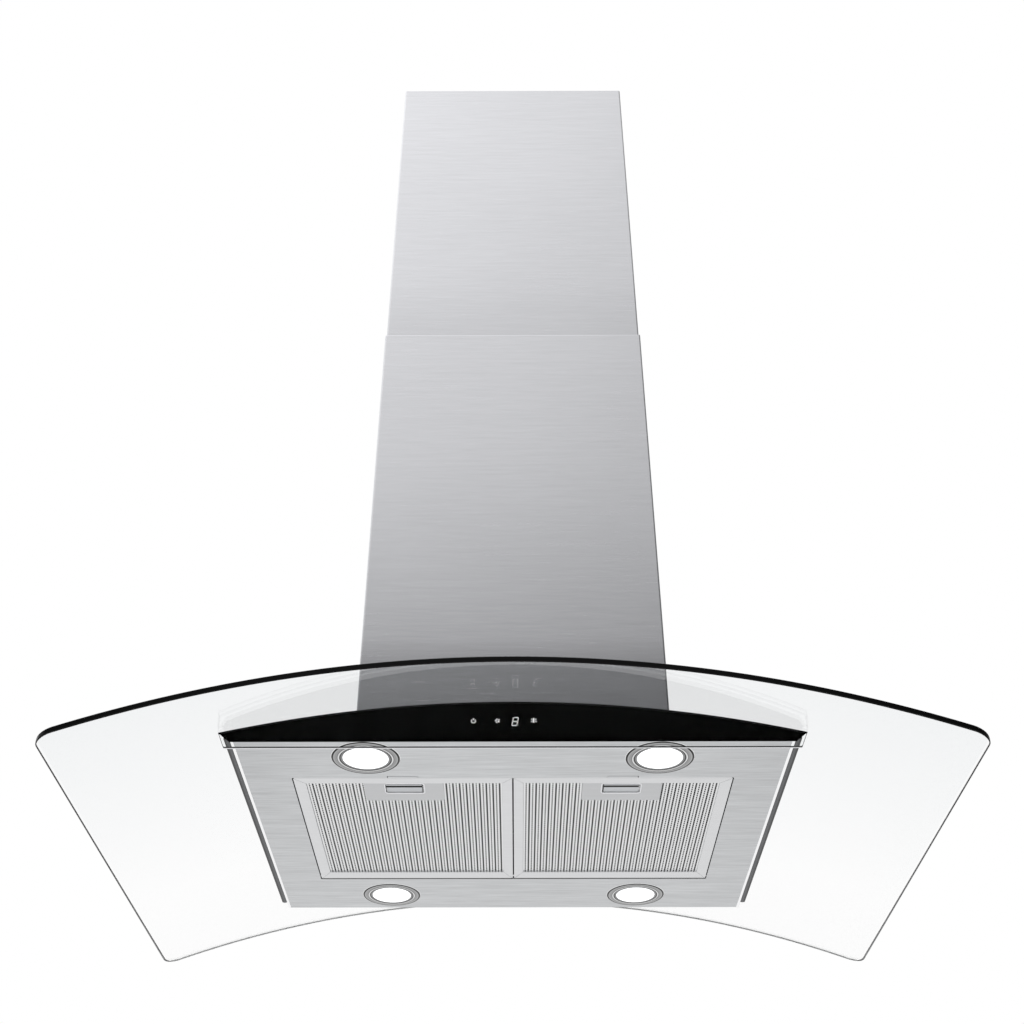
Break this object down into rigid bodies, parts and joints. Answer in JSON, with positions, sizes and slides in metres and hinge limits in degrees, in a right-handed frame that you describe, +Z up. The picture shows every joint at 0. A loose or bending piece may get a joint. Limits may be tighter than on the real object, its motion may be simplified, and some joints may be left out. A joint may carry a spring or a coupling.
{
  "type": "range hood",
  "caption": "Ceiling-hung island range hood with an arched clear glass canopy, brushed steel telescopic chimney, touch panel, mesh grease filters and round lamps.",
  "frame": {"origin": "centre of the ceiling plate's top face", "axes": "+Z up, +Y to the rear (away from the touch panel), +X to the right of someone facing the panel"},
  "size_m": [0.898, 0.62, 1.224],
  "materials": {
    "chimney_steel": "fine horizontal brushing",
    "body_steel": "fine brushing",
    "zinc_steel": "galvanised",
    "screw_steel": "plated",
    "spring_steel": "bright wire",
    "canopy_glass": "clear, ground edge",
    "panel_glass": "clear, polished edge",
    "black_print": "gloss black",
    "gasket_rubber": "matt",
    "nylon": "natural",
    "rail_plastic": "satin grey",
    "circuit_board": "solder resist",
    "display_plastic": "black",
    "filter_frame_alu": "satin",
    "filter_mesh_alu": "expanded mesh",
    "handle_alu": "satin",
    "latch_plastic": "satin",
    "bezel_chrome": "satin chrome",
    "lamp_diffuser": "frosted",
    "lamp_can_metal": "satin",
    "blower_plastic": "satin",
    "wheel_plastic": "satin",
    "shaft_steel": "ground",
    "motor_metal": "satin black",
    "collar_plastic": "satin",
    "power_box_plastic": "satin",
    "terminal_plastic": "satin",
    "gland_plastic": "satin"
  },
  "bodies": {
    "ceiling_frame": {"ceiling_plate": "zinc_steel", "upper_posts": "zinc_steel", "upper_brace": "zinc_steel", "upper_chimney_front": "chimney_steel", "upper_chimney_rear": "chimney_steel", "upper_cover_screws": "screw_steel"},
    "hood": {"lower_posts": "zinc_steel", "height_screws": "screw_steel", "mounting_deck": "zinc_steel", "lower_chimney_front": "chimney_steel", "lower_chimney_rear": "chimney_steel", "lower_cover_screws": "screw_steel", "motor_box": "zinc_steel", "scroll_half_left": "blower_plastic", "scroll_half_right": "blower_plastic", "blower_motor": "motor_metal", "motor_bracket": "zinc_steel", "outlet_collar": "collar_plastic", "glass_canopy": "canopy_glass", "upper_gasket": "gasket_rubber", "lower_gasket": "gasket_rubber", "glass_bolts": "screw_steel", "glass_bushes": "nylon", "wedge_washers": "nylon", "body_pan": "body_steel", "body_top": "zinc_steel", "filter_hinge_rod": "shaft_steel", "side_rail_left": "rail_plastic", "side_rail_right": "rail_plastic", "control_glass": "panel_glass", "touch_foil": "black_print", "touch_board": "circuit_board", "display_module": "display_plastic", "lamp_bezel_front_left": "bezel_chrome", "lamp_bezel_front_right": "bezel_chrome", "lamp_bezel_rear_left": "bezel_chrome", "lamp_bezel_rear_right": "bezel_chrome", "lamp_lens_front_left": "lamp_diffuser", "lamp_lens_front_right": "lamp_diffuser", "lamp_lens_rear_left": "lamp_diffuser", "lamp_lens_rear_right": "lamp_diffuser", "lamp_cans": "lamp_can_metal", "power_box": "power_box_plastic", "power_box_lid": "power_box_plastic", "terminal_block": "terminal_plastic", "cable_gland": "gland_plastic"},
    "filter_left": {"filter_frame_left": "filter_frame_alu", "filter_mesh_left": "filter_mesh_alu", "filter_handle_left": "handle_alu", "latch_spring_left": "spring_steel"},
    "filter_right": {"filter_frame_right": "filter_frame_alu", "filter_mesh_right": "filter_mesh_alu", "filter_handle_right": "handle_alu", "latch_spring_right": "spring_steel"},
    "latch_left": {"filter_latch_left": "latch_plastic"},
    "latch_right": {"filter_latch_right": "latch_plastic"},
    "blower_rotor": {"blower_wheel": "wheel_plastic", "blower_shaft": "shaft_steel"},
    "flap_front": {"outlet_flap_front": "collar_plastic"},
    "flap_rear": {"outlet_flap_rear": "collar_plastic"}
  },
  "joints": [
    {"name": "height_adjust", "type": "slide", "parent": "ceiling_frame", "child": "hood", "axis": [0, 0, 1], "range_m": [0, 0.3]},
    {"name": "filter_left_tilt", "type": "hinge", "parent": "hood", "child": "filter_left", "pos_m": [-0.1155, 0.1235, -1.18], "axis": [1, 0, 0], "range_deg": [0, 75]},
    {"name": "filter_right_tilt", "type": "hinge", "parent": "hood", "child": "filter_right", "pos_m": [0.1155, 0.1235, -1.18], "axis": [1, 0, 0], "range_deg": [0, 75]},
    {"name": "latch_left_slide", "type": "slide", "parent": "filter_left", "child": "latch_left", "axis": [0, 1, 0], "range_m": [0, 0.006], "stiffness_N_per_m": 300, "springref_m": -0.004, "deforming": ["latch_spring_left"]},
    {"name": "latch_right_slide", "type": "slide", "parent": "filter_right", "child": "latch_right", "axis": [0, 1, 0], "range_m": [0, 0.006], "stiffness_N_per_m": 300, "springref_m": -0.004, "deforming": ["latch_spring_right"]},
    {"name": "blower_spin", "type": "hinge", "parent": "hood", "child": "blower_rotor", "pos_m": [0, -0.02, -1.025], "axis": [1, 0, 0], "continuous": true},
    {"name": "flap_front_swing", "type": "hinge", "parent": "hood", "child": "flap_front", "pos_m": [0, 0.035, -0.84], "axis": [-1, 0, 0], "range_deg": [0, 80]},
    {"name": "flap_rear_swing", "type": "hinge", "parent": "hood", "child": "flap_rear", "pos_m": [0, 0.041, -0.84], "axis": [1, 0, 0], "range_deg": [0, 80]}
  ]
}
